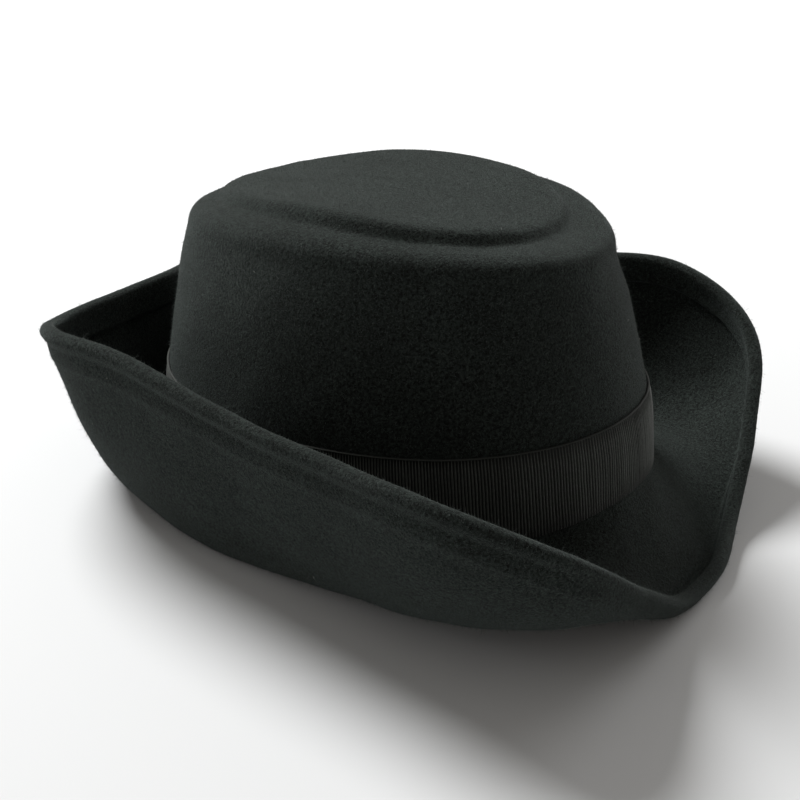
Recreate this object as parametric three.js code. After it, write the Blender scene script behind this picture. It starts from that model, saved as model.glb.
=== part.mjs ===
// A tricorn hat. One felt hood is blocked into a round crown and a wide brim. The brim is turned up at
// both sides and across the back, and dips in a low spout over the forehead. Its edge is turned in as a
// soft roll. A ribbed ribbon runs round the foot of the crown.
//
// Lengths are in millimetres and angles in degrees. The front of the hat is -Y, its wearer's left is +X,
// and +Z is up. The shape is worked out in the head frame, whose origin is the middle of the line where
// the crown meets the brim, and is then tipped back onto the surface that it rests on.
import * as THREE from 'three';

// Felt
const FELT_THICKNESS = 2.2;

// The edge of the brim is turned in towards the crown as a soft roll. By the distance from the end of the
// felt's middle, inner is how far the roll stands out on the crown's side and outer how far it stands out
// (or is drawn in) on the other side.
const ROLL_PROFILE = [
  { fromEdge: 10.6, inner: 1.8, outer: 0.6 },
  { fromEdge: 7.6, inner: 2, outer: 0.1 },
  { fromEdge: 4.8, inner: 2.4, outer: -0.9 },
  { fromEdge: 1, inner: 3.2, outer: 0.7 },
];
const ROLL_STEP = 0.8;

// Ribbon
const RIBBON_THICKNESS = 0.9;
const RIBBON_GAP = 0.3;
const RIBBON_LAP_THICKNESS = 0.8;
const RIBBON_LAP = { from: 95, to: 106 };
const RIBBON_LEVELS = [3, 23.5, 36.5];

// Resting
const TIP_BACK = 6.6;
const BASE_HEIGHT = 12;

// Mesh
const COLUMNS = 84;
const BRIM_ROWS = 9;
const BRIM_ROW_CROWDING = 1.2;
const EDGE_ARC_STEPS = 4;

// The crown, from the middle of its top down to the brim. Each ring is an oval round the vertical axis.
// saddle lowers a ring at the front and back and lifts it at the sides, egg widens its front half, and
// centre moves it backwards.
const CROWN_RINGS = [
  { height: 110.2, halfLength: 0, halfWidth: 0, centre: 8.2, saddle: 0, egg: 0 },
  { height: 109.6, halfLength: 36, halfWidth: 26.6, centre: 8.2, saddle: 1.2, egg: 0.14 },
  { height: 107.5, halfLength: 67, halfWidth: 50.6, centre: 8.4, saddle: 3.7, egg: 0.17 },
  { height: 103.2, halfLength: 71, halfWidth: 53.7, centre: 8.4, saddle: 3.6, egg: 0.16 },
  { height: 101.8, halfLength: 78.5, halfWidth: 58.8, centre: 5.4, saddle: 3.7, egg: 0.12 },
  { height: 100.3, halfLength: 82.6, halfWidth: 62.6, centre: 5, saddle: 3.8, egg: 0.12 },
  { height: 97.2, halfLength: 85.2, halfWidth: 65.1, centre: 5, saddle: 3.9, egg: 0.12 },
  { height: 93, halfLength: 86.1, halfWidth: 66.1, centre: 5, saddle: 4.2, egg: 0.12 },
  { height: 70.5, halfLength: 92, halfWidth: 72.7, centre: 3.7, saddle: 2.9, egg: 0.09 },
  { height: 47, halfLength: 96.5, halfWidth: 78.2, centre: 2.4, saddle: 0.2, egg: 0.06 },
  { height: 23.5, halfLength: 99.5, halfWidth: 82.1, centre: 1.2, saddle: -2.6, egg: 0.03 },
  { height: 0, halfLength: 101, halfWidth: 84.5, centre: 0, saddle: -5.4, egg: 0 },
];

// The brim, by the angle round the crown from the front (0) to the back (180), the same on both sides.
// reach and height place its edge, dip is the slope at which it leaves the crown, and lift is the slope
// at which it meets its edge.
const BRIM_SECTIONS = [
  { at: 0, reach: 134, height: -21, dip: -50, lift: 85 },
  { at: 15, reach: 135, height: -18, dip: -49, lift: 88 },
  { at: 30, reach: 146, height: 4, dip: -46, lift: 93 },
  { at: 45, reach: 160, height: 34, dip: -45, lift: 95 },
  { at: 60, reach: 151, height: 51, dip: -46, lift: 93 },
  { at: 75, reach: 127, height: 53, dip: -48, lift: 88 },
  { at: 90, reach: 117, height: 56, dip: -47, lift: 82 },
  { at: 105, reach: 116, height: 61, dip: -40, lift: 83 },
  { at: 120, reach: 122, height: 66, dip: -31, lift: 82 },
  { at: 135, reach: 137, height: 66, dip: -21, lift: 76 },
  { at: 150, reach: 137, height: 58, dip: -12, lift: 73 },
  { at: 165, reach: 123, height: 57, dip: -6, lift: 77 },
  { at: 180, reach: 112, height: 59, dip: -4, lift: 80 },
];
const BRIM_FULLNESS = 0.42;

const { degToRad, lerp } = THREE.MathUtils;
const foot = CROWN_RINGS[CROWN_RINGS.length - 1];

// A smooth value between the rows of a table that is mirrored at both of its ends.
function sectionValue(rows, key, degrees) {
  const step = rows[1].at - rows[0].at;
  const last = rows.length - 1;
  const place = Math.abs(degrees > 180 ? degrees - 360 : degrees) / step;
  const start = Math.min(Math.floor(place), last - 1);
  const part = place - start;
  const row = (index) => rows[last - Math.abs(last - Math.abs(index))][key];
  const [before, from, to, after] = [row(start - 1), row(start), row(start + 1), row(start + 2)];
  const slope = to - before;
  const bend = 2 * before - 5 * from + 4 * to - after;
  const twist = 3 * (from - to) + after - before;
  return from + 0.5 * part * (slope + part * (bend + part * twist));
}

// The angle along the foot's oval at which it points the given way from the hat's axis.
function ovalAngle(degrees) {
  const angle = degToRad(degrees);
  return Math.atan2(Math.sin(angle) * foot.halfLength, Math.cos(angle) * foot.halfWidth);
}

function crownPoint(ring, degrees) {
  const angle = ovalAngle(degrees);
  const width = ring.halfWidth * (1 + ring.egg * Math.cos(angle));
  return new THREE.Vector3(
    width * Math.sin(angle),
    ring.centre - ring.halfLength * Math.cos(angle),
    ring.height - ring.saddle * Math.cos(2 * angle),
  );
}

// The brim's section at one angle, as a curve from the crown's foot to the middle of the edge.
function brimCurve(degrees) {
  const outward = new THREE.Vector3(Math.sin(degToRad(degrees)), -Math.cos(degToRad(degrees)), 0);
  const heading = (slope, length) => {
    const away = outward.clone().multiplyScalar(length * Math.cos(degToRad(slope)));
    return away.setZ(length * Math.sin(degToRad(slope)));
  };
  const start = crownPoint(foot, degrees);
  const end = outward.clone().multiplyScalar(sectionValue(BRIM_SECTIONS, 'reach', degrees));
  end.z = sectionValue(BRIM_SECTIONS, 'height', degrees);
  const handle = BRIM_FULLNESS * start.distanceTo(end);
  return new THREE.CubicBezierCurve3(
    start,
    start.clone().add(heading(sectionValue(BRIM_SECTIONS, 'dip', degrees), handle)),
    end.clone().sub(heading(sectionValue(BRIM_SECTIONS, 'lift', degrees), handle)),
    end,
  );
}

// The middle of the felt along one column, from the top of the crown to the edge of the brim, with the
// heights of its inner and outer surfaces above that middle at each point.
function feltColumn(degrees) {
  const half = FELT_THICKNESS / 2;
  const plain = { inner: half, outer: half };
  const column = CROWN_RINGS.map((ring) => ({ middle: crownPoint(ring, degrees), ...plain }));
  const curve = brimCurve(degrees);
  const length = curve.getLength();
  const at = (fromEdge) => curve.getPointAt(1 - fromEdge / length);
  const plainEnd = ROLL_PROFILE[0].fromEdge + ROLL_STEP;
  for (let row = 1; row <= BRIM_ROWS; row++) {
    const fromEdge = lerp(length, plainEnd, (row / BRIM_ROWS) ** BRIM_ROW_CROWDING);
    column.push({ middle: at(fromEdge), ...plain });
  }
  ROLL_PROFILE.forEach(({ fromEdge, inner, outer }) => {
    column.push({ middle: at(fromEdge), inner: half + inner, outer: half + outer });
  });
  return column;
}

const angles = Array.from({ length: COLUMNS }, (_, column) => (360 * column) / COLUMNS);
const felt = angles.map(feltColumn);
const lastRow = felt[0].length - 1;
const around = (column) => (column + COLUMNS) % COLUMNS;

// The felt's direction at a grid point, pointing out of the crown's outside and the brim's upper side.
function feltNormal(column, row) {
  if (row === 0) {
    return new THREE.Vector3(0, 0, 1);
  }
  const along = felt[column][Math.min(row + 1, lastRow)].middle.clone();
  along.sub(felt[column][row - 1].middle);
  const across = felt[around(column + 1)][row].middle.clone().sub(felt[around(column - 1)][row].middle);
  return along.cross(across).normalize();
}

function feltPoint(column, row, offset) {
  return felt[column][row].middle.clone().addScaledVector(feltNormal(column, row), offset);
}

// Puts a point of the head frame where it lies when the hat rests, pressed flat against the surface.
const tipAxis = new THREE.Vector3(1, 0, 0);
function rested(point) {
  const placed = point.clone().applyAxisAngle(tipAxis, -degToRad(TIP_BACK));
  placed.z = Math.max(placed.z + BASE_HEIGHT, 0);
  return placed;
}

// A closed skin over rows of points that go round the hat. A row with one point closes the skin there,
// and otherwise the last row joins the first.
function skin(rows) {
  const points = [];
  const starts = rows.map((row) => {
    const start = points.length;
    row.forEach((point) => points.push(rested(point)));
    return start;
  });
  const faces = [];
  const index = (row, column) => starts[row] + (rows[row].length === 1 ? 0 : around(column));
  const isClosedByPoints = rows[0].length === 1;
  const bands = isClosedByPoints ? rows.length - 1 : rows.length;
  for (let band = 0; band < bands; band++) {
    const next = (band + 1) % rows.length;
    for (let column = 0; column < COLUMNS; column++) {
      const [here, below] = [index(band, column), index(next, column)];
      const [beside, across] = [index(band, column + 1), index(next, column + 1)];
      if (rows[next].length > 1) {
        faces.push(here, below, across);
      }
      if (rows[band].length > 1) {
        faces.push(here, across, beside);
      }
    }
  }
  const geometry = new THREE.BufferGeometry().setFromPoints(points);
  geometry.setIndex(faces);
  geometry.computeVertexNormals();
  return geometry;
}

// The felt's rows: down its inner side to the edge of the brim, round the edge, and back up its outer
// side. On the crown those are its outside and the hollow for the head.
function feltRows() {
  const row = (index, offset) =>
    angles.map((_, column) => feltPoint(column, index, offset(felt[column][index])));
  const rows = [[feltPoint(0, 0, felt[0][0].inner)]];
  for (let index = 1; index <= lastRow; index++) {
    rows.push(row(index, (point) => point.inner));
  }
  const { inner, outer } = felt[0][lastRow];
  const edgeRadius = (inner + outer) / 2;
  for (let step = 1; step < EDGE_ARC_STEPS; step++) {
    const turn = (Math.PI * step) / EDGE_ARC_STEPS;
    const offset = (inner - outer) / 2 + edgeRadius * Math.cos(turn);
    rows.push(angles.map((_, column) => {
      const before = felt[column][lastRow - 1].middle;
      const outward = felt[column][lastRow].middle.clone().sub(before).normalize();
      return feltPoint(column, lastRow, offset).addScaledVector(outward, edgeRadius * Math.sin(turn));
    }));
  }
  for (let index = lastRow; index >= 1; index--) {
    rows.push(row(index, (point) => -point.outer));
  }
  rows.push([feltPoint(0, 0, -felt[0][0].outer)]);
  return rows;
}

// A point that stands off the crown's outside at a height up its wall.
function wallPoint(column, height, offset) {
  const lower = CROWN_RINGS.findLastIndex((ring) => ring.height > height) + 1;
  const span = CROWN_RINGS[lower - 1].height - CROWN_RINGS[lower].height;
  const part = (height - CROWN_RINGS[lower].height) / span;
  const out = FELT_THICKNESS / 2 + offset;
  return feltPoint(column, lower, out).lerp(feltPoint(column, lower - 1, out), part);
}

// The ribbon's rows: up its inner side and down its outer side, thicker where its end laps over.
function ribbonRows() {
  const inner = (height) => angles.map((_, column) => wallPoint(column, height, RIBBON_GAP));
  const outer = (height) => angles.map((angle, column) => {
    const isLap = angle > RIBBON_LAP.from && angle < RIBBON_LAP.to;
    const thickness = RIBBON_THICKNESS + (isLap ? RIBBON_LAP_THICKNESS : 0);
    return wallPoint(column, height, RIBBON_GAP + thickness);
  });
  return [...RIBBON_LEVELS.map(inner), ...RIBBON_LEVELS.toReversed().map(outer)];
}

const feltBody = new THREE.Mesh(
  skin(feltRows()),
  new THREE.MeshStandardMaterial({ color: 0x171b1a, roughness: 0.96, metalness: 0 }),
);
feltBody.name = 'felt_body';

const ribbonBand = new THREE.Mesh(
  skin(ribbonRows()),
  new THREE.MeshStandardMaterial({ color: 0x0e1010, roughness: 0.6, metalness: 0 }),
);
ribbonBand.name = 'ribbon_band';

const hat = new THREE.Group();
hat.add(feltBody, ribbonBand);
hat.position.y = -new THREE.Box3().setFromObject(hat).getCenter(new THREE.Vector3()).y;

export default hat;
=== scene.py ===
"""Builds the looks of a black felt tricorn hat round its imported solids.

The felt hood with its rolled edge, its nap and the ribbed ribbon are made in the hat's head frame, in
millimetres, where the crown meets the brim at height 0, and are then tipped back onto the surface that
the hat rests on. The finished pieces are in metres.
"""

import math

import bpy
import numpy as np
from mathutils import Matrix


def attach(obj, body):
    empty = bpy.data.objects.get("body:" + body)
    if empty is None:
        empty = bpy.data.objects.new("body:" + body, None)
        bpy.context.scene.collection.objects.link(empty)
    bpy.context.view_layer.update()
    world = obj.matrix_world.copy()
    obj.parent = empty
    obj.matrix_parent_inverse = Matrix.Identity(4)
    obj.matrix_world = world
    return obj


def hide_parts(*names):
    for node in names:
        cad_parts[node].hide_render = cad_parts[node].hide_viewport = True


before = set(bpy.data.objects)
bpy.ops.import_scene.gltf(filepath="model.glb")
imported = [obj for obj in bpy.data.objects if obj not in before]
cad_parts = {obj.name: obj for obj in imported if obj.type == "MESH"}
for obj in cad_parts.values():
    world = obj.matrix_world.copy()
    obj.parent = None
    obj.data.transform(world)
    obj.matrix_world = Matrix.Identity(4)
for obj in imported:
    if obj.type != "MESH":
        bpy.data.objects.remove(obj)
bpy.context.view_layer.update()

bl_info = {
    "name": "Felt Tricorn Hat",
    "version": (1, 0, 0),
    "blender": (4, 5, 0),
    "location": "3D View > Sidebar > Hat",
    "description": "Builds a felt tricorn hat with a ribbed ribbon and a rolled edge",
    "category": "Add Mesh",
}

MM = 0.001

# How the hat lies: its front is tipped up by TIP_BACK degrees, and the crown's foot is BASE_HEIGHT over
# the surface.
TIP_BACK = 6.6
BASE_HEIGHT = 12.0

# The crown from the middle of its top down to the brim, as ovals round the vertical axis. saddle lowers
# a ring at the front and back and lifts it at the sides, egg widens its front half, and centre moves it
# backwards.
RING_COLUMNS = ("height", "half_length", "half_width", "centre", "saddle", "egg")
CROWN_RINGS = (
    (110.3, 0.0, 0.0, 8.2, 0.0, 0.0),
    (110.1, 18.0, 13.3, 8.2, 0.3, 0.14),
    (109.6, 36.0, 26.6, 8.2, 1.2, 0.14),
    (108.7, 53.0, 39.6, 8.3, 2.5, 0.155),
    (107.9, 63.6, 47.9, 8.4, 3.4, 0.17),
    (107.0, 67.4, 50.8, 8.4, 3.7, 0.17),
    (105.0, 69.3, 52.3, 8.4, 3.6, 0.17),
    (103.2, 71.3, 53.9, 8.3, 3.6, 0.16),
    (102.3, 75.2, 56.4, 7.0, 3.6, 0.14),
    (101.6, 79.2, 59.4, 5.3, 3.7, 0.12),
    (100.1, 82.9, 62.9, 5.0, 3.8, 0.12),
    (97.2, 85.2, 65.1, 5.0, 3.9, 0.12),
    (93.0, 86.1, 66.1, 5.0, 4.2, 0.12),
    (70.5, 92.0, 72.7, 3.7, 2.9, 0.09),
    (47.0, 96.5, 78.2, 2.4, 0.2, 0.06),
    (23.5, 99.5, 82.1, 1.2, -2.6, 0.03),
    (0.0, 101.0, 84.5, 0.0, -5.4, 0.0),
)

# The brim, by the angle round the crown from the front (0) to the back (180), the same on both sides.
# reach and height place the middle of its edge, dip is its slope where it leaves the crown, and lift is
# its slope at the edge.
SECTION_COLUMNS = ("at", "reach", "height", "dip", "lift")
BRIM_SECTIONS = (
    (0, 134, -21, -50, 85),
    (15, 135, -18, -49, 88),
    (30, 146, 4, -46, 93),
    (45, 160, 34, -45, 95),
    (60, 151, 51, -46, 93),
    (75, 127, 53, -48, 88),
    (90, 117, 56, -47, 82),
    (105, 116, 61, -40, 83),
    (120, 122, 66, -31, 82),
    (135, 137, 66, -21, 76),
    (150, 137, 58, -12, 73),
    (165, 123, 57, -6, 77),
    (180, 112, 59, -4, 80),
)
BRIM_FULLNESS = 0.42

# Rows of CROWN_RINGS: the edge of the stepped tip, the ledge round it, the top of the straight wall and
# the crown's foot.
TIP_EDGE, LEDGE, WALL_TOP, FOOT = 3, 9, 12, 16

# The felt's rows of points: how many there are from one ring of the crown to another, on the plain part
# of the brim and round the end of its edge.
CROWN_ROWS = ((0, TIP_EDGE, 12), (TIP_EDGE, LEDGE, 18), (LEDGE, WALL_TOP, 13), (WALL_TOP, FOOT, 37))
BRIM_ROWS = 43
END_ROWS = 9

# How many steps each curve of the brim is measured in.
CURVE_STEPS = 160

# Small waves that hand-blocked felt has: the length of each wave and how far it moves the felt.
FELT_WAVES = ((61.0, 0.22), (37.0, 0.16), (19.0, 0.10), (9.0, 0.05))

# The rolled edge, by the distance from the end of the felt's middle: how far its inner side, which faces
# the crown, and its outer side stand out from the plain felt.
EDGE_COLUMNS = ("from_edge", "inner", "outer")
EDGE_PROFILE = (
    (0.0, 3.05, 0.55),
    (1.0, 3.2, 0.7),
    (2.4, 3.0, 0.45),
    (4.8, 2.5, -0.3),
    (6.8, 2.1, 0.0),
    (8.6, 2.0, 0.28),
    (10.6, 1.8, 0.45),
    (11.3, 0.8, 0.38),
    (12.0, 0.1, 0.24),
    (14.0, 0.0, 0.0),
)
# The rows of points along the roll: how many there are between two distances from the edge. The last
# stops short of the edge, where the rounded end begins.
ROLL_ROWS = ((14.0, 12.2, 3, False), (12.2, 10.4, 8, True), (9.7, 1.0, 14, True))

# The zones of the felt that nap grows from. The hollow for the head has none.
NAP_ZONES = {"crown": 0, "brim_face": 1, "brim_back": 2, "hollow": 3}

# How far the ribbon's inner and outer sides stand off the felt, before its own thickness, and what its
# lapped end adds.
RIBBON_INNER_GAP = 0.08
RIBBON_OUTER_GAP = 0.12
LAP_THICKNESS = 0.7

# The ribbon's woven ground near its lower and its upper edge: the distance from that edge, and how thick
# it is there as a share of its plain thickness.
LOWER_EDGE = ((0.0, 0.45), (0.15, 0.8), (0.5, 1.0))
UPPER_EDGE = ((0.5, 1.0), (0.4, 1.7), (0.1, 1.7), (0.0, 0.8))

# The ribbon's ground and the sheet that its ribs are laid on: how many steps each has round the crown and
# how many rows of points. The ground's rows are those between its two edges.
GROUND_STEPS, GROUND_ROWS = 480, 9
SHEET_STEPS, SHEET_ROWS = 1200, 12


# ---------------------------------------------------------------- shape


def smooth_through(places, values, at):
    """Values between the rows of a table, smooth and with no overshoot. values has a column each."""
    places, values, at = np.asarray(places, float), np.asarray(values, float), np.asarray(at, float)
    gaps = np.diff(places)[:, None]
    slopes = np.diff(values, axis=0) / gaps
    before, after = slopes[:-1], slopes[1:]
    agree = before * after > 0
    inner = np.where(agree, 2 * before * after / np.where(agree, before + after, 1.0), 0.0)
    slope = np.vstack([slopes[:1], inner, slopes[-1:]])
    row = np.clip(np.searchsorted(places, at, side="right") - 1, 0, len(places) - 2)
    gap = gaps[row]
    part = ((at - places[row]) / gap[:, 0])[:, None]
    rest = 1 - part
    return (
        values[row] * rest * rest * (1 + 2 * part)
        + slope[row] * gap * part * rest * rest
        + values[row + 1] * part * part * (3 - 2 * part)
        - slope[row + 1] * gap * part * part * rest
    )


def brim_value(column, turn):
    """A column of the brim's table at each angle round the crown, in radians, smooth all round."""
    values = np.array([row[SECTION_COLUMNS.index(column)] for row in BRIM_SECTIONS], float)
    step = BRIM_SECTIONS[1][0] - BRIM_SECTIONS[0][0]
    last = len(values) - 1
    degrees = np.degrees(turn) % 360
    place = np.minimum(degrees, 360 - degrees) / step
    start = np.minimum(place.astype(int), last - 1)
    part = place - start

    def row(index):
        return values[last - np.abs(last - np.abs(index))]

    before, here, there, after = row(start - 1), row(start), row(start + 1), row(start + 2)
    bend = 2 * before - 5 * here + 4 * there - after
    twist = 3 * (here - there) + after - before
    return here + 0.5 * part * ((there - before) + part * (bend + part * twist))


def oval_angle(turn):
    """The angle along the foot's oval at which it points the given way from the hat's axis."""
    foot = dict(zip(RING_COLUMNS, CROWN_RINGS[-1]))
    return np.arctan2(np.sin(turn) * foot["half_length"], np.cos(turn) * foot["half_width"])


def crown_points(rings, turn):
    """Points of the felt's middle on each ring (rows) at each angle (columns)."""
    height, half_length, half_width, centre, saddle, egg = rings.T[:, :, None]
    angle = oval_angle(turn)[None, :]
    across = half_width * (1 + egg * np.cos(angle)) * np.sin(angle)
    along = centre - half_length * np.cos(angle)
    up = height - saddle * np.cos(2 * angle)
    return np.stack([across, along, up + 0 * across], axis=2)


def ring_places():
    """How far each ring of the table is from the crown's middle, measured down its profile."""
    table = np.array(CROWN_RINGS)
    return np.concatenate([[0.0], np.cumsum(np.hypot(np.diff(table[:, 0]), np.diff(table[:, 1])))])


def brim_points(turn, fractions, from_edge):
    """Points of the felt's middle on the brim: rows at fractions of its plain width, then rows at
    distances from its edge. The plain width ends at the first of those distances."""
    foot = crown_points(np.array(CROWN_RINGS[-1:]), turn)[0]
    columns = []
    t = np.linspace(0, 1, CURVE_STEPS + 1)[:, None]
    for index, angle in enumerate(turn):
        outward = np.array([math.sin(angle), -math.cos(angle), 0.0])
        one = np.array([angle])
        edge = outward * brim_value("reach", one)[0]
        edge[2] = brim_value("height", one)[0]
        handle = BRIM_FULLNESS * np.linalg.norm(edge - foot[index])
        dip = math.radians(brim_value("dip", one)[0])
        lift = math.radians(brim_value("lift", one)[0])
        leaving = outward * math.cos(dip) + np.array([0, 0, math.sin(dip)])
        arriving = outward * math.cos(lift) + np.array([0, 0, math.sin(lift)])
        first, second = foot[index] + handle * leaving, edge - handle * arriving
        curve = (
            (1 - t) ** 3 * foot[index]
            + 3 * (1 - t) ** 2 * t * first
            + 3 * (1 - t) * t**2 * second
            + t**3 * edge
        )
        run = np.concatenate([[0.0], np.cumsum(np.linalg.norm(np.diff(curve, axis=0), axis=1))])
        wanted = np.concatenate([(run[-1] - from_edge[0]) * fractions, run[-1] - from_edge])
        columns.append(np.stack([np.interp(wanted, run, curve[:, k]) for k in range(3)], axis=1))
    return np.stack(columns, axis=1)


def grid_normals(points):
    """Unit normals of a grid of points whose columns go round the hat, out of the crown's outside."""
    down = np.gradient(points, axis=0)
    across = np.roll(points, -1, axis=1) - np.roll(points, 1, axis=1)
    normals = np.cross(down, across)
    return normals / np.maximum(np.linalg.norm(normals, axis=2, keepdims=True), 1e-9)


def felt_waves(points, amount):
    """How far the felt's small waves move it at each point."""
    random = np.random.default_rng(7)
    moved = np.zeros(points.shape[:-1])
    for length, height in FELT_WAVES:
        for _ in range(4):
            heading = random.normal(size=3)
            heading *= 2 * math.pi / (length * np.linalg.norm(heading))
            moved += height / 2 * np.sin(points @ heading + random.uniform(0, 2 * math.pi))
    return amount * moved


def tipped(points):
    """Head-frame points, in millimetres, leaned back as the hat rests."""
    lean = math.radians(TIP_BACK)
    x, y, z = np.moveaxis(points, -1, 0)
    along = y * math.cos(lean) + z * math.sin(lean)
    up = z * math.cos(lean) - y * math.sin(lean) + BASE_HEIGHT
    return np.stack([x, along, up], axis=-1)


class Hat:
    """The felt's grid of points, which every piece on it is laid on."""

    def measure(self, felt):
        """Works out the felt's middle, its thickness either side and where the hat rests."""
        self.half = felt.thickness / MM / 2
        self.waviness = felt.waviness
        self.turn = np.linspace(0, 2 * math.pi, felt.columns, endpoint=False)
        places = ring_places()
        wanted = [np.linspace(places[start], places[end], rows + 1)[1:] for start, end, rows in CROWN_ROWS]
        rings = smooth_through(places, np.array(CROWN_RINGS), np.concatenate(wanted))
        crown = crown_points(rings, self.turn)
        plain = np.linspace(0, 1, BRIM_ROWS + 2)[1:-1]
        roll = [np.linspace(start, end, count, endpoint) for start, end, count, endpoint in ROLL_ROWS]
        self.from_edge = np.concatenate(roll)
        brim = brim_points(self.turn, plain, self.from_edge)
        middle = np.concatenate([crown, brim])
        self.crown_rows = len(crown)
        self.eased(middle)
        self.middle = middle + self.waves(middle, grid_normals(middle))
        self.normals = grid_normals(self.middle)
        self.roll = felt.roll
        self.top = np.array(CROWN_RINGS[0][0]) + self.half * np.array([1, -1])
        self.setback = 0.0
        along = self.rested(self.side(-1))[..., 1]
        self.setback = -(along.min() + along.max()) / 2 / MM

    def eased(self, middle):
        """Rounds the break where the crown meets the brim."""
        above, below, rounds = 4, 3, 3
        first, last = self.crown_rows - above, self.crown_rows + below
        for _ in range(rounds):
            beside = middle[first - 1 : last - 1] + middle[first + 1 : last + 1]
            middle[first:last] += 0.25 * beside
            middle[first:last] /= 1.5

    def waves(self, points, normals):
        """How the felt's small waves move points, along their normals."""
        return normals * felt_waves(points, self.waviness)[..., None]

    def side(self, face):
        """The felt's face (1) or back (-1), with the rolled edge's profile on it."""
        profile = np.array(EDGE_PROFILE)
        column = EDGE_COLUMNS.index("inner" if face > 0 else "outer")
        extra = smooth_through(profile[:, 0], profile[:, 1:], np.clip(self.from_edge, 0, profile[-1, 0]))
        off = np.zeros(len(self.middle))
        off[-len(self.from_edge) :] = extra[:, column - 1]
        return self.middle + face * self.normals * (self.half + off * self.roll)[:, None, None]

    def rested(self, points):
        """Where head-frame points lie when the hat rests, in metres. What would go through the surface
        is pressed flat on it."""
        placed = tipped(points)
        placed[..., 1] += self.setback
        placed[..., 2] = np.maximum(placed[..., 2], 0)
        return placed * MM

    def hood_rows(self):
        """Rows of points down the face, round the edge and back up the back, with the zone of the faces
        that start at each row."""
        face, back = self.side(1), self.side(-1)
        radius = np.linalg.norm(face[-1] - back[-1], axis=1, keepdims=True) / 2
        centre = (face[-1] + back[-1]) / 2
        out = face[-1] - face[-3] + back[-1] - back[-3]
        across = (face[-1] - centre) / radius
        out -= (out * across).sum(axis=1, keepdims=True) * across
        out /= np.linalg.norm(out, axis=1, keepdims=True)
        turns = np.linspace(0, math.pi, END_ROWS + 2)[1:-1]
        end = [centre + radius * (across * math.cos(t) + out * math.sin(t)) for t in turns]
        inner = back[: self.crown_rows][::-2]
        rows = [*face, *end, *back[self.crown_rows :][::-1], *inner]
        zones = [NAP_ZONES["crown"]] * self.crown_rows
        zones += [NAP_ZONES["brim_face"]] * (len(face) - self.crown_rows + len(end))
        zones += [NAP_ZONES["brim_back"]] * (len(back) - self.crown_rows)
        zones += [NAP_ZONES["hollow"]] * len(inner)
        return np.array(rows), zones

    def skin(self, rows, zones):
        """The points and faces of the felt's closed skin, with a fan at each end of its rows."""
        count, columns = rows.shape[:2]
        points = rows.reshape(-1, 3)
        centre = CROWN_RINGS[0][RING_COLUMNS.index("centre")]
        points = np.vstack([points, [0, centre, self.top[0]], [0, centre, self.top[1]]])
        quads = grid_faces(count, columns, wrap_columns=True)
        here = np.arange(columns)
        beside = (here + 1) % columns
        first = np.stack([np.full(columns, len(points) - 2), here, beside], axis=1)
        last = (count - 1) * columns
        final = np.stack([np.full(columns, len(points) - 1), last + beside, last + here], axis=1)
        zone_of_face = np.repeat(zones[:-1], columns).tolist() + [zones[0]] * columns + [zones[-1]] * columns
        return points, quads, np.vstack([first, final]), zone_of_face

    @staticmethod
    def zone_areas(hood):
        """The area of each zone, in square metres."""
        zone = np.empty(len(hood.data.polygons), int)
        area = np.empty(len(hood.data.polygons))
        hood.data.attributes["zone"].data.foreach_get("value", zone)
        hood.data.polygons.foreach_get("area", area)
        return {name: float(area[zone == number].sum()) for name, number in NAP_ZONES.items()}

    def wall(self, turn, heights, off):
        """Points at table heights up the crown's outside, at a distance off the felt."""
        table = np.array(CROWN_RINGS[WALL_TOP:])[::-1]
        step = 0.5
        sample = np.concatenate([heights + step, heights, heights - step])
        rings = smooth_through(table[:, 0], table, np.clip(sample, 0, table[-1, 0]))
        above, here, below = crown_points(rings, turn).reshape(3, len(heights), len(turn), 3)
        normals = np.cross(below - above, np.gradient(here, axis=1))
        normals /= np.linalg.norm(normals, axis=2, keepdims=True)
        lift = self.half + felt_waves(here, self.waviness) + off
        return here + normals * lift[..., None]

    def lap(self, ribbon, turn):
        """The thickness that the lapped end adds at each angle."""
        return np.where((turn > ribbon.lap_from) & (turn < ribbon.lap_to), LAP_THICKNESS, 0.0)[None, :]

    def ribbon_ground(self, ribbon):
        """The ribbon's woven ground as a closed band with a rounded edge top and bottom."""
        turn = np.linspace(0, 2 * math.pi, GROUND_STEPS + 1)
        low = ribbon.lowest / MM
        high = low + ribbon.width / MM
        thick = ribbon.thickness / MM
        (low_steps, low_swell), (high_steps, high_swell) = np.transpose(LOWER_EDGE), np.transpose(UPPER_EDGE)
        up = [*(low + low_steps), *np.linspace(low + 3, high - 3, GROUND_ROWS), *(high - high_steps)]
        swell = np.array([*low_swell, *np.ones(GROUND_ROWS), *high_swell])
        swollen = swell[:, None] * thick + self.lap(ribbon, turn)
        outer = self.wall(turn, np.array(up), swollen + RIBBON_OUTER_GAP)
        inner = self.wall(turn, np.array(up), np.array([[RIBBON_INNER_GAP]]))
        rows = np.concatenate([outer[::-1], inner])[:, :-1]
        quads = grid_faces(len(rows), rows.shape[1], wrap_columns=True, wrap_rows=True)
        ground = new_piece("ribbon", self.rested(rows.reshape(-1, 3)), quads)
        run = np.linalg.norm(np.diff(outer[len(up) // 2 - 1], axis=0), axis=1)
        along = np.concatenate([[0], np.cumsum(run)])[:-1] * MM
        past_outer = 40
        across = np.concatenate([np.array(up)[::-1], np.array(up) + past_outer]) * MM
        add_grid_uv(ground, along, across)
        selvedge_rows = 3
        selvedge = np.repeat(np.arange(len(rows)) < selvedge_rows, rows.shape[1]).astype(int)
        # Faces past the selvedge rows take the first finish: painted shade, the ribbon's darkest colour
        # standing in for the shade in the gaps between the ribs.
        ground.data.polygons.foreach_set("material_index", selvedge)
        return ground, float(run.sum() * MM)

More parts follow.
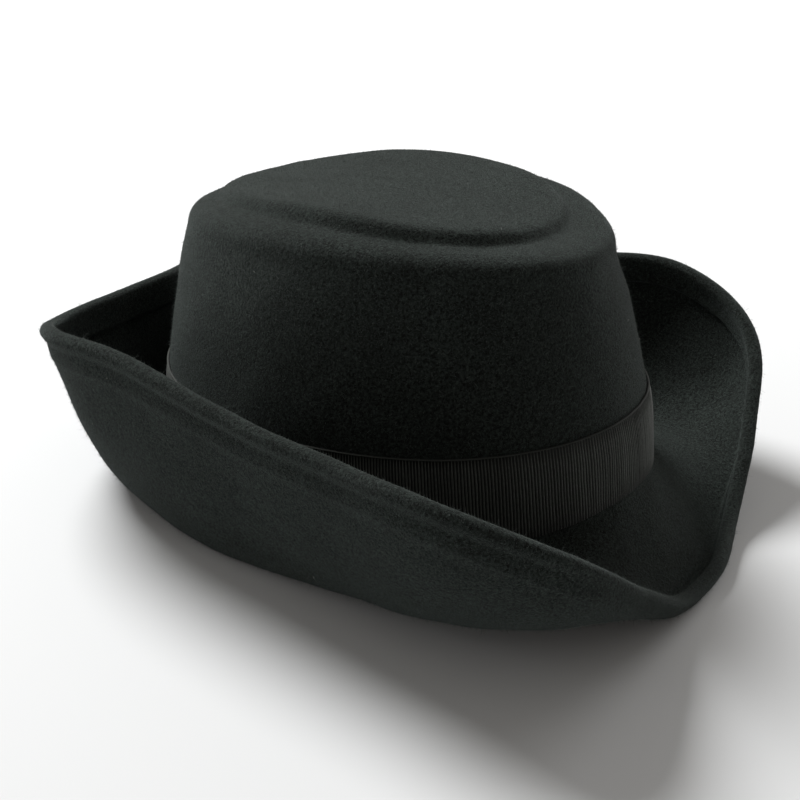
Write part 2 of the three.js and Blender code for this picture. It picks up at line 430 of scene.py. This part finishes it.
    def ribbon_sheet(self, ribbon):
        """The surface of the ribbon's ground, for the ribs to be wrapped on. Its UV map runs from 0 to 1
        along it and across it."""
        turn = np.linspace(0, 2 * math.pi, SHEET_STEPS + 1)
        low = ribbon.lowest / MM
        up = np.linspace(low + ribbon.width / MM, low, SHEET_ROWS)
        off = ribbon.thickness / MM + RIBBON_INNER_GAP + self.lap(ribbon, turn)
        rows = self.wall(turn, up, off)
        quads = grid_faces(len(rows), rows.shape[1], wrap_columns=False)
        sheet = new_piece("ribbon_sheet", self.rested(rows.reshape(-1, 3)), quads)
        add_grid_uv(sheet, np.linspace(0, 1, rows.shape[1]), np.linspace(1, 0, len(rows)))
        return sheet


# ---------------------------------------------------------------- meshes


def grid_faces(rows, columns, wrap_columns, wrap_rows=False):
    """Quads between the points of a grid, facing the way that the rows and columns give."""
    row = np.arange(rows if wrap_rows else rows - 1)[:, None]
    column = np.arange(columns if wrap_columns else columns - 1)[None, :]
    below, beside = (row + 1) % rows, (column + 1) % columns
    here, under = row * columns, below * columns
    corners = (here + column, under + column, under + beside, here + beside)
    return np.stack(np.broadcast_arrays(*corners), axis=-1).reshape(-1, 4)


def new_piece(name, points, quads, triangles=()):
    """A mesh object at the origin, in the scene's collection."""
    mesh = bpy.data.meshes.new(name)
    faces = [tuple(map(int, face)) for face in quads] + [tuple(map(int, face)) for face in triangles]
    mesh.from_pydata([tuple(map(float, point)) for point in points], [], faces)
    mesh.polygons.foreach_set("use_smooth", [True] * len(mesh.polygons))
    mesh.update()
    piece = bpy.data.objects.new(name, mesh)
    bpy.context.scene.collection.objects.link(piece)
    return piece


def add_grid_uv(piece, along, across):
    """A UV map for a grid of points, from a place along it for each column and across it for each row."""
    uv_by_point = np.stack(np.broadcast_arrays(along[None, :], across[:, None]), axis=-1).reshape(-1, 2)
    layer = piece.data.uv_layers.new(name="UVMap")
    corners = np.empty(len(piece.data.loops), int)
    piece.data.loops.foreach_get("vertex_index", corners)
    layer.data.foreach_set("uv", uv_by_point[corners].astype(np.float32).ravel())


# ---------------------------------------------------------------- node helpers


class Nodes:
    """Adds nodes to a tree, each from its type, its settings and the values or links of its sockets."""

    def __init__(self, tree):
        self.tree = tree

    def add(self, kind, settings=None, inputs=None, output=0):
        node = self.tree.nodes.new(kind)
        for name, value in (settings or {}).items():
            setattr(node, name, value)
        for key, value in (inputs or {}).items():
            self.feed(node.inputs[key], value)
        return Value(self, node.outputs[output]) if node.outputs else node

    def feed(self, socket, value):
        if isinstance(value, Value):
            self.tree.links.new(value.socket, socket)
        elif value is not None:
            socket.default_value = value


class Value:
    """A socket's output, on which number maths is written as Python expressions."""

    def __init__(self, nodes, socket):
        self.nodes = nodes
        self.socket = socket

    def maths(self, operation, *others, clamp=False):
        inputs = {0: self, **{k + 1: other for k, other in enumerate(others)}}
        kind = "ShaderNodeMath"
        return self.nodes.add(kind, {"operation": operation, "use_clamp": clamp}, inputs)

    def __add__(self, other):
        return self.maths("ADD", other)

    def __sub__(self, other):
        return self.maths("SUBTRACT", other)

    def __mul__(self, other):
        return self.maths("MULTIPLY", other)

    def __truediv__(self, other):
        return self.maths("DIVIDE", other)

    def __rtruediv__(self, other):
        return self.nodes.add("ShaderNodeMath", {"operation": "DIVIDE"}, {0: other, 1: self})

    def __radd__(self, other):
        return self.maths("ADD", other)

    def __rsub__(self, other):
        return self.maths("MULTIPLY_ADD", -1.0, other)

    def clamped(self):
        return self.maths("ADD", 0.0, clamp=True)


def axes(nodes, vector):
    """The X, Y and Z of a vector."""
    return (nodes.add("ShaderNodeSeparateXYZ", None, {"Vector": vector}, output=axis) for axis in "XYZ")


def opaque(colour):
    return (*colour[:3], 1.0)


# ---------------------------------------------------------------- finishes


def new_material(name):
    material = bpy.data.materials.new(name)
    material.use_nodes = True
    material.node_tree.nodes.clear()
    return material, Nodes(material.node_tree)


def finish_material(nodes, inputs):
    """Ends a finish with the surface that has these inputs."""
    surface = nodes.add("ShaderNodeBsdfPrincipled", None, inputs)
    output = nodes.tree.nodes.new("ShaderNodeOutputMaterial")
    nodes.tree.links.new(surface.socket, output.inputs["Surface"])


def noise(nodes, place, size, distortion=0.0):
    """Even noise from 0 to 1 whose spots are about the given size, in metres."""
    inputs = {"Vector": place, "Scale": 1 / size, "Detail": 2.0}
    inputs.update({"Roughness": 0.6, "Distortion": distortion})
    raw = nodes.add("ShaderNodeTexNoise", {"noise_dimensions": "3D"}, inputs)
    return ((raw - 0.32) * 2.8).clamped()


def mix_colour(nodes, share, first, second):
    return nodes.add("ShaderNodeMix", {"data_type": "RGBA"}, {0: share, 6: first, 7: second}, output=2)


def felt_material(felt):
    """Black wool felt: mottled at the scale of its fibres, clouded a little, and soft at grazing light."""
    material, nodes = new_material("wool_felt")
    place = nodes.add("ShaderNodeTexCoord", output="Object")
    grain = noise(nodes, place, felt.grain_size, distortion=0.5)
    fibres = noise(nodes, place, felt.grain_size * 0.5, distortion=1.2)
    clouds = noise(nodes, place, felt.cloud_size)
    worked = ((grain * 0.55 + fibres * 0.45 - 0.22) * 1.6 * (0.72 + clouds * 0.28)).clamped()
    colour = mix_colour(nodes, worked, opaque(felt.deep_colour), opaque(felt.light_colour))
    relief = {"Strength": 0.75, "Distance": 0.0005, "Height": grain * 0.5 + fibres * 0.5}
    inputs = {
        "Base Color": colour,
        "Roughness": 0.9 + grain * 0.1,
        "Normal": nodes.add("ShaderNodeBump", None, relief),
        "Specular IOR Level": 0.12,
        "Sheen Weight": felt.sheen,
        "Sheen Roughness": 0.4,
        "Sheen Tint": (0.78, 0.92, 0.88, 1.0),
    }
    finish_material(nodes, inputs)
    return material


def plain_fibre_material(name, colour):
    material, nodes = new_material(name)
    inputs = {"Base Color": opaque(colour), "Roughness": 0.8, "Specular IOR Level": 0.3}
    finish_material(nodes, inputs)
    return material


def ribbon_material(ribbon):
    """Black ribbed ribbon: each rib is wound with fine threads that cross it, with a slight sheen."""
    material, nodes = new_material("ribbed_ribbon")
    place = nodes.add("ShaderNodeUVMap", {"uv_map": "UVMap"})
    along, across, _ = axes(nodes, place)
    spun = noise(nodes, place, ribbon.fuzz_size)
    thread = (across * (2 * math.pi / ribbon.thread_pitch) + spun * 2.0).maths("SINE") * 0.5 + 0.5
    streak = (along * (2 * math.pi / ribbon.streak_pitch)).maths("SINE") * 0.5 + 0.5
    share = (thread * 0.35 + spun * 0.5 + streak * 0.15).clamped()
    inputs = {
        "Base Color": mix_colour(nodes, share, opaque(ribbon.deep_colour), opaque(ribbon.light_colour)),
        "Roughness": 0.5 + spun * 0.2,
        "Normal": nodes.add("ShaderNodeBump", None, {"Strength": 0.5, "Distance": 0.0001, "Height": thread}),
        "Specular IOR Level": 0.4,
        "Sheen Weight": 0.15,
        "Sheen Roughness": 0.5,
    }
    finish_material(nodes, inputs)
    return material


# ---------------------------------------------------------------- patterns

# The setting of a node that works on vectors.
VECTORS = {"data_type": "FLOAT_VECTOR"}


def new_pattern(name, sizes):
    """A geometry node tree with a geometry input and named inputs for its sizes."""
    tree = bpy.data.node_groups.new(name, "GeometryNodeTree")
    tree.interface.new_socket("Geometry", in_out="INPUT", socket_type="NodeSocketGeometry")
    tree.interface.new_socket("Geometry", in_out="OUTPUT", socket_type="NodeSocketGeometry")
    for size, kind in sizes.items():
        tree.interface.new_socket(size, in_out="INPUT", socket_type=kind)
    nodes = Nodes(tree)
    source = tree.nodes.new("NodeGroupInput")
    return tree, nodes, {socket.name: Value(nodes, socket) for socket in source.outputs if socket.name}


def end_pattern(nodes, geometry, material):
    """Makes the pattern's copies real, gives them their finish and sends them out."""
    real = nodes.add("GeometryNodeRealizeInstances", None, {"Geometry": geometry})
    dressed = nodes.add("GeometryNodeSetMaterial", None, {"Geometry": real, "Material": material})
    output = nodes.tree.nodes.new("NodeGroupOutput")
    nodes.tree.links.new(dressed.socket, output.inputs[0])


def run_pattern(name, guide, tree, sizes):
    """A plain mesh object that holds what the pattern makes from the guide."""
    modifier = guide.modifiers.new(tree.name, "NODES")
    modifier.node_group = tree
    identifiers = {item.name: item.identifier for item in tree.interface.items_tree if item.in_out == "INPUT"}
    for size, value in sizes.items():
        modifier[identifiers[size]] = value
    evaluated = guide.evaluated_get(bpy.context.evaluated_depsgraph_get())
    mesh = bpy.data.meshes.new_from_object(evaluated)
    mesh.name = name
    guide.modifiers.remove(modifier)
    if not mesh.polygons:
        raise RuntimeError(f"the pattern {tree.name} made nothing for {name}")
    piece = bpy.data.objects.new(name, mesh)
    bpy.context.scene.collection.objects.link(piece)
    return piece


RIB_SIZES = {
    "Count": "NodeSocketInt",
    "Strip Length": "NodeSocketFloat",
    "Strip Width": "NodeSocketFloat",
    "Rib Width": "NodeSocketFloat",
    "Rib Height": "NodeSocketFloat",
    "Rib Length": "NodeSocketFloat",
    "Waviness": "NodeSocketFloat",
    "Seed": "NodeSocketInt",
}


def rib_pattern(name, material):
    """Rounded ribs that cross a strip, spaced evenly along it and wrapped onto it. The strip's UV map runs
    from 0 to 1 along its length and across its width."""
    tree, nodes, size = new_pattern(name, RIB_SIZES)
    bar_sizes = {"Vertices": 8, "Side Segments": 6, "Radius": 1.0, "Depth": 1.0}
    bar = nodes.add("GeometryNodeMeshCylinder", {"fill_type": "NGON"}, bar_sizes)
    local = nodes.add("GeometryNodeInputPosition")
    x, y, z = axes(nodes, local)
    ends = (z * 2).maths("ABSOLUTE").maths("POWER", 5.0)
    round_off = 1 - ends * 0.6
    half_width, rise = size["Rib Width"] * 0.5 * x * round_off, size["Rib Height"] * y * round_off
    reach = z * size["Rib Length"]
    shaped = {"X": half_width / size["Strip Length"], "Y": 0 - reach / size["Strip Width"], "Z": rise}
    shaped = nodes.add("ShaderNodeCombineXYZ", None, shaped)
    bar = nodes.add("GeometryNodeSetPosition", None, {"Geometry": bar, "Position": shaped})
    first = nodes.add("ShaderNodeCombineXYZ", None, {"X": 0.5 / size["Count"], "Y": 0.5})
    step = nodes.add("ShaderNodeCombineXYZ", None, {"X": 1 / size["Count"]})
    places = {"Count": size["Count"], "Start Location": first, "Offset": step}
    line = nodes.add("GeometryNodeMeshLine", None, places)
    uneven = {"Min": (0.86, 1.0, 0.8), "Max": (1.08, 1.0, 1.15), "Seed": size["Seed"]}
    scale = nodes.add("FunctionNodeRandomValue", VECTORS, uneven)
    bars = nodes.add("GeometryNodeInstanceOnPoints", None, {"Points": line, "Instance": bar, "Scale": scale})
    bars = nodes.add("GeometryNodeRealizeInstances", None, {"Geometry": bars})
    flat = nodes.add("GeometryNodeInputPosition")
    along, across, height = axes(nodes, flat)
    metres = {"X": along * size["Strip Length"], "Y": across * size["Strip Width"], "Z": size["Seed"]}
    metres = nodes.add("ShaderNodeCombineXYZ", None, metres)
    drift = nodes.add("ShaderNodeTexNoise", None, {"Vector": metres, "Scale": 160.0, "Detail": 2.0})
    along = along + (drift - 0.5) * size["Waviness"] / size["Strip Length"]
    strip_place = nodes.add("ShaderNodeCombineXYZ", None, {"X": along, "Y": across})
    strip_map = nodes.add("GeometryNodeInputNamedAttribute", VECTORS, {"Name": "UVMap"})
    lookup = {"Mesh": size["Geometry"], "UV Map": strip_map, "Sample UV": strip_place}
    ground, normal = (
        nodes.add("GeometryNodeSampleUVSurface", VECTORS, {**lookup, "Value": nodes.add(value)})
        for value in ("GeometryNodeInputPosition", "GeometryNodeInputNormal")
    )
    lift = nodes.add("ShaderNodeVectorMath", {"operation": "SCALE"}, {"Vector": normal, "Scale": height})
    wrapped = nodes.add("ShaderNodeVectorMath", {"operation": "ADD"}, {0: ground, 1: lift})
    marked = {"Geometry": bars, "Name": "UVMap", "Value": metres}
    bars = nodes.add("GeometryNodeStoreNamedAttribute", {"data_type": "FLOAT2", "domain": "CORNER"}, marked)
    bars = nodes.add("GeometryNodeSetPosition", None, {"Geometry": bars, "Position": wrapped})
    end_pattern(nodes, nodes.add("GeometryNodeSetShadeSmooth", None, {"Geometry": bars}), material)
    return tree


NAP_SIZES = {
    "Zone": "NodeSocketInt",
    "Density": "NodeSocketFloat",
    "Length": "NodeSocketFloat",
    "Radius": "NodeSocketFloat",
    "Lean": "NodeSocketFloat",
    "Bend": "NodeSocketFloat",
    "Segments": "NodeSocketInt",
    "Seed": "NodeSocketInt",
}


def nap_pattern(name, material):
    """Short fibres that grow from one zone of the felt, leaning every way."""
    tree, nodes, size = new_pattern(name, NAP_SIZES)
    zone = nodes.add("GeometryNodeInputNamedAttribute", {"data_type": "INT"}, {"Name": "zone"})
    is_equal = {"data_type": "INT", "operation": "EQUAL"}
    chosen = nodes.add("FunctionNodeCompare", is_equal, {2: zone, 3: size["Zone"]})
    spread = {"Mesh": size["Geometry"], "Selection": chosen, "Density": size["Density"], "Seed": size["Seed"]}
    roots = nodes.add("GeometryNodeDistributePointsOnFaces", {"distribute_method": "RANDOM"}, spread)
    upright = Value(nodes, roots.socket.node.outputs["Normal"])
    any_way = {"Min": (-1.0, -1.0, -1.0), "Max": (1.0, 1.0, 1.0), "Seed": size["Seed"] + 1}
    any_way = {"Vector": nodes.add("FunctionNodeRandomValue", VECTORS, any_way), "Scale": size["Lean"]}
    leaning = nodes.add("ShaderNodeVectorMath", {"operation": "SCALE"}, any_way)
    heading = nodes.add("ShaderNodeVectorMath", {"operation": "ADD"}, {0: upright, 1: leaning})
    rotation = nodes.add("FunctionNodeAlignRotationToVector", {"axis": "Z"}, {"Vector": heading})
    cone = {"Vertices": 3, "Side Segments": size["Segments"]}
    cone.update({"Radius Bottom": size["Radius"], "Depth": size["Length"]})
    fibre = nodes.add("GeometryNodeMeshCone", {"fill_type": "NGON"}, {**cone, "Radius Top": 0.0})
    local = nodes.add("GeometryNodeInputPosition")
    *_, height = axes(nodes, local)
    height = height / size["Length"]
    curl = nodes.add("ShaderNodeCombineXYZ", None, {"X": height * height * size["Bend"] * size["Length"]})
    fibre = nodes.add("GeometryNodeSetPosition", None, {"Geometry": fibre, "Offset": curl})
    scale = {"Min": (0.7, 0.7, 0.45), "Max": (1.2, 1.2, 1.25), "Seed": size["Seed"] + 2}
    scale = nodes.add("FunctionNodeRandomValue", VECTORS, scale)
    copies = {"Points": roots, "Instance": fibre, "Rotation": rotation, "Scale": scale}
    fibres = nodes.add("GeometryNodeInstanceOnPoints", None, copies)
    fibres = nodes.add("GeometryNodeRealizeInstances", None, {"Geometry": fibres})
    x, y, z = axes(nodes, nodes.add("GeometryNodeInputPosition"))
    above = nodes.add("ShaderNodeCombineXYZ", None, {"X": x, "Y": y, "Z": z.maths("MAXIMUM", 0.0)})
    fibres = nodes.add("GeometryNodeSetPosition", None, {"Geometry": fibres, "Position": above})
    end_pattern(nodes, fibres, material)
    return tree


# ---------------------------------------------------------------- settings


def number(name, description, default, **more):
    return bpy.props.FloatProperty(name=name, description=description, default=default, **more)


def length(name, description, default):
    return number(name, description, default, unit="LENGTH", precision=5)


def whole(name, description, default):
    return bpy.props.IntProperty(name=name, description=description, default=default, min=12)


def angle(name, description, degrees):
    return number(name, description, math.radians(degrees), unit="ROTATION")


def colour(name, description, default):
    return bpy.props.FloatVectorProperty(
        name=name, description=description, default=default, size=3, subtype="COLOR", min=0, max=1
    )


class HatFeltSettings(bpy.types.PropertyGroup):
    thickness: length("Thickness", "Thickness of the felt", 0.0022)
    roll: number("Edge Roll", "Strength of the rolled edge's profile", 1.0)
    waviness: number("Waviness", "Strength of the felt's waves", 1.0)
    columns: whole("Columns", "Points round the hat", 300)
    grain_size: length("Grain Size", "Size of the felt's mottling", 0.0011)
    cloud_size: length("Cloud Size", "Size of the felt's faint clouds", 0.022)
    sheen: number("Sheen", "Strength of the nap's sheen", 0.11, subtype="FACTOR")
    deep_colour: colour("Deep Colour", "Colour between the fibres", (0.0030, 0.0033, 0.0028))
    light_colour: colour("Light Colour", "Colour of the fibres", (0.0325, 0.0415, 0.0370))


class HatNapSettings(bpy.types.PropertyGroup):
    length: length("Fibre Length", "Length of the short nap", 0.0011)
    radius: length("Fibre Radius", "Radius of a fibre at its root", 0.00005)
    fibres: whole("Fibres", "Short fibres in one zone", 46000)
    stray_length: length("Stray Length", "Length of the stray fibres", 0.0028)
    strays: whole("Strays", "Stray fibres in one zone", 2600)
    lint_length: length("Lint Length", "Length of a piece of lint", 0.0012)
    lint_radius: length("Lint Radius", "Radius of a piece of lint at its root", 0.00012)
    colour: colour("Fibre Colour", "Colour of the fibres", (0.085, 0.100, 0.094))
    lint_colour: colour("Lint Colour", "Colour of the few pale fibres", (0.35, 0.36, 0.34))


class HatRibbonSettings(bpy.types.PropertyGroup):
    lowest: length("Lower Edge", "Height of the ribbon's lower edge over the crown's foot", 0.003)
    width: length("Width", "Width of the ribbon", 0.0335)
    thickness: length("Thickness", "Thickness of the woven ground", 0.0006)
    rib_pitch: length("Rib Pitch", "Distance from rib to rib", 0.0012)
    rib_width: length("Rib Width", "Width of a rib", 0.000792)
    rib_height: length("Rib Height", "Height of a rib over the ground", 0.00045)
    rib_waviness: length("Rib Waviness", "How far the ribs stray from straight", 0.0005)
    thread_pitch: length("Thread Pitch", "Distance between the threads that cross a rib", 0.00032)
    fuzz_size: length("Fuzz Size", "Size of the threads' unevenness", 0.0011)
    streak_pitch: length("Streak Pitch", "Distance between the ribbon's faint streaks", 0.021)
    lap_from: angle("Lap Start", "Angle where the end laps over", 95)
    lap_to: angle("Lap End", "Angle where the lap ends", 106)
    # Deep Colour also serves as painted shade on the ribbon's ground, which shows only in the shaded gaps
    # between the ribs.
    deep_colour: colour("Deep Colour", "Colour between the threads", (0.0072, 0.0080, 0.0070))
    light_colour: colour("Light Colour", "Colour of the threads", (0.088, 0.101, 0.088))
    selvedge_colour: colour("Selvedge Colour", "Colour of the woven edge", (0.030, 0.034, 0.030))


class HatStageSettings(bpy.types.PropertyGroup):
    floor_colour: colour("Floor Colour", "Colour of the floor", (0.72, 0.73, 0.735))
    floor_side: length("Floor Side", "Half the width of the floor", 14.0)
    world_colour: colour("World Colour", "Colour of the light from all round", (1.0, 0.95, 0.9))
    world_light: number("World Light", "Strength of the light from all round", 0.24)
    camera_turn: angle("Camera Turn", "Camera's angle round the hat from its front", -63.4)
    camera_rise: angle("Camera Rise", "Camera's angle over the crown's foot", 23.8)
    camera_distance: length("Camera Distance", "Distance of the camera from the crown's middle", 0.529)
    focal_length: number("Focal Length", "Focal length of the camera, in millimetres", 59.9)


# ---------------------------------------------------------------- pieces

HAT = Hat()

# How far the fibres lean and bend, and how many straight parts each one has.
SHORT_NAP = {"Lean": 1.5, "Bend": 0.0, "Segments": 1}
STRAYS = {"Lean": 1.1, "Bend": 0.35, "Segments": 3}
LINT_FIBRE = {"Lean": 3.0, "Bend": 0.5, "Segments": 4}

# The lint: the zone that each piece of it lies on, how many bits there are and their seed.
LINT = {"lint_brim": ("brim_back", 26, 5), "lint_crown": ("crown", 18, 9)}

# The soft round lights: where each one stands and its diameter, in metres, and its power in watts.
LIGHTS = {
    "light_back": ((0.6, 1.75, 1.85), 1.3, 106),
    "light_left": ((-1.2, 1.8, 0.55), 0.8, 4),
    "light_right": ((2.1, -0.6, 0.65), 1.0, 15),
}
LIGHTS_AIM = (0.0, 0.0, 0.05)

# How far the floor is under the hat, in metres.
FLOOR_DROP = 0.0003

# Where the camera's middle stands in the head frame before it moves back: over the crown's foot, then
# along its own up and right.
CAMERA_AIM = {"height": 60.0, "up": -36.0, "right": -2.0}


class HAT_OT_felt_hood(bpy.types.Operator):
    """Make the crown, the brim and its rolled edge as one piece of felt"""

    bl_idname = "hat.felt_hood"
    bl_label = "Felt Hood"

    def execute(self, context):
        felt = context.scene.hat_felt
        HAT.measure(felt)
        rows, zones = HAT.hood_rows()
        points, quads, triangles, zone_of_face = HAT.skin(rows, zones)
        hood = new_piece("felt_hood", HAT.rested(points), quads, triangles)
        zone = hood.data.attributes.new("zone", "INT", "FACE")
        zone.data.foreach_set("value", zone_of_face)
        hood.data.materials.append(felt_material(felt))
        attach(hood, "root")
        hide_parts("felt_body")
        return {"FINISHED"}


class HAT_OT_nap(bpy.types.Operator):
    """Grow the felt's short nap, its stray fibres and a little lint"""

    bl_idname = "hat.nap"
    bl_label = "Nap"

    def execute(self, context):
        nap = context.scene.hat_nap
        hood = bpy.data.objects["felt_hood"]
        fibre = plain_fibre_material("felt_fibres", nap.colour)
        tree = nap_pattern("Nap", fibre)
        areas = HAT.zone_areas(hood)
        for seed, zone in enumerate(("crown", "brim_face", "brim_back")):
            sizes = {"Zone": NAP_ZONES[zone], "Radius": nap.radius}
            short = {"Density": nap.fibres / areas[zone], "Length": nap.length, "Seed": seed}
            self.grow(f"nap_{zone}", hood, tree, {**sizes, **SHORT_NAP, **short})
            stray = {"Density": nap.strays / areas[zone], "Length": nap.stray_length, "Seed": seed + 40}
            self.grow(f"strays_{zone}", hood, tree, {**sizes, **STRAYS, **stray})
        lint = nap_pattern("Lint", plain_fibre_material("lint", nap.lint_colour))
        for name, (zone, count, seed) in LINT.items():
            sizes = {"Zone": NAP_ZONES[zone], "Density": count / areas[zone], "Length": nap.lint_length}
            sizes.update({"Radius": nap.lint_radius, "Seed": seed})
            self.grow(name, hood, lint, {**LINT_FIBRE, **sizes})
        return {"FINISHED"}

    @staticmethod
    def grow(name, hood, tree, sizes):
        piece = run_pattern(name, hood, tree, sizes)
        zone = piece.data.attributes.get("zone")
        if zone:
            piece.data.attributes.remove(zone)
        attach(piece, "root")


class HAT_OT_ribbon(bpy.types.Operator):
    """Wrap the ribbed ribbon round the crown, its end lapped over at the wearer's left"""

    bl_idname = "hat.ribbon"
    bl_label = "Ribbon"

    def execute(self, context):
        ribbon = context.scene.hat_ribbon
        material = ribbon_material(ribbon)
        ground, length_round = HAT.ribbon_ground(ribbon)
        # The ground is painted the darkest colour, as painted shade for the narrow gaps between the ribs; its
        # woven edge keeps a colour of its own.
        ground.data.materials.append(plain_fibre_material("ribbon_gap_shade", ribbon.deep_colour))
        ground.data.materials.append(plain_fibre_material("selvedge", ribbon.selvedge_colour))
        sheet = HAT.ribbon_sheet(ribbon)
        sizes = {"Count": round(length_round / ribbon.rib_pitch), "Strip Length": length_round}
        sizes.update({"Strip Width": ribbon.width, "Rib Width": ribbon.rib_width})
        sizes.update({"Rib Height": ribbon.rib_height, "Rib Length": ribbon.width * 0.98})
        sizes.update({"Waviness": ribbon.rib_waviness, "Seed": 3})
        ribs = run_pattern("ribbon_ribs", sheet, rib_pattern("Ribs", material), sizes)
        bpy.data.objects.remove(sheet)
        for piece in (ground, ribs):
            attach(piece, "root")
        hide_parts("ribbon_band")
        return {"FINISHED"}


class HAT_OT_stage(bpy.types.Operator):
    """Set up the floor, the soft lights and the camera"""

    bl_idname = "hat.stage"
    bl_label = "Stage"

    def execute(self, context):
        stage = context.scene.hat_stage
        self.floor(stage)
        for name, (place, size, power) in LIGHTS.items():
            self.light(name, place, size, power)
        world = bpy.data.worlds.new("studio")
        context.scene.world = world
        world.use_nodes = True
        sky = world.node_tree.nodes["Background"].inputs
        sky["Color"].default_value = opaque(stage.world_colour)
        sky["Strength"].default_value = stage.world_light
        context.scene.view_settings.view_transform = "Standard"
        self.camera(context, stage)
        return {"FINISHED"}

    @staticmethod
    def floor(stage):
        side = stage.floor_side
        corners = [(-side, -side, 0), (side, -side, 0), (side, side, 0), (-side, side, 0)]
        floor = new_piece("floor", np.array(corners) - [0, 0, FLOOR_DROP], [(0, 1, 2, 3)])
        material, nodes = new_material("pale_floor")
        inputs = {"Base Color": opaque(stage.floor_colour), "Roughness": 0.8}
        finish_material(nodes, inputs)
        floor.data.materials.append(material)

    @staticmethod
    def light(name, place, size, power):
        data = bpy.data.lights.new(name, "AREA")
        data.shape = "DISK"
        data.size = size
        data.energy = power
        lamp = bpy.data.objects.new(name, data)
        away = np.array(place) - np.array(LIGHTS_AIM)
        lamp.matrix_world = look_along(place, away, (0, 1, 0.01))
        bpy.context.scene.collection.objects.link(lamp)

    @staticmethod
    def camera(context, stage):
        turn, rise = stage.camera_turn, stage.camera_rise
        right = np.array([math.cos(turn), math.sin(turn), 0.0])
        back = np.array([math.sin(turn) * math.cos(rise), -math.cos(turn) * math.cos(rise), math.sin(rise)])
        up = np.cross(back, right)
        aim = np.array([0, 0, CAMERA_AIM["height"]]) + CAMERA_AIM["up"] * up + CAMERA_AIM["right"] * right
        place = aim + back * stage.camera_distance / MM
        eye, over, behind = HAT.rested(np.array([place, place + up, place + back]))
        data = bpy.data.cameras.new("camera")
        data.lens = stage.focal_length
        data.sensor_width = 36.0
        camera = bpy.data.objects.new("camera", data)
        camera.matrix_world = look_along(eye, behind - eye, over - eye)
        context.scene.collection.objects.link(camera)
        context.scene.camera = camera


def look_along(place, away, up):
    """A placement whose -Z looks against away, with up as near to its Y as it can be."""
    z = np.array(away, float) / np.linalg.norm(away)
    x = np.cross(np.array(up, float), z)
    x /= np.linalg.norm(x)
    y = np.cross(z, x)
    matrix = np.eye(4)
    matrix[:3, :3] = np.stack([x, y, z], axis=1)
    matrix[:3, 3] = place
    return Matrix(matrix.tolist())


class HAT_PT_panel(bpy.types.Panel):
    """Lists the hat's sizes and the steps that build it"""

    bl_label = "Felt Tricorn Hat"
    bl_idname = "HAT_PT_panel"
    bl_space_type = "VIEW_3D"
    bl_region_type = "UI"
    bl_category = "Hat"

    def draw(self, context):
        for step in STEPS:
            self.layout.operator(step.bl_idname)
        for name, group in SETTINGS.items():
            box = self.layout.box()
            for setting in group.__annotations__:
                box.prop(getattr(context.scene, name), setting)


STEPS = (HAT_OT_felt_hood, HAT_OT_nap, HAT_OT_ribbon, HAT_OT_stage)
SETTINGS = {
    "hat_felt": HatFeltSettings,
    "hat_nap": HatNapSettings,
    "hat_ribbon": HatRibbonSettings,
    "hat_stage": HatStageSettings,
}


def register():
    for name, group in SETTINGS.items():
        bpy.utils.register_class(group)
        setattr(bpy.types.Scene, name, bpy.props.PointerProperty(type=group))
    for part in (*STEPS, HAT_PT_panel):
        bpy.utils.register_class(part)


def unregister():
    for part in (*STEPS, HAT_PT_panel):
        bpy.utils.unregister_class(part)
    for name, group in SETTINGS.items():
        delattr(bpy.types.Scene, name)
        bpy.utils.unregister_class(group)


def main():
    register()
    bpy.ops.hat.felt_hood()
    bpy.ops.hat.nap()
    bpy.ops.hat.ribbon()
    bpy.ops.hat.stage()


if __name__ == "__main__":
    main()
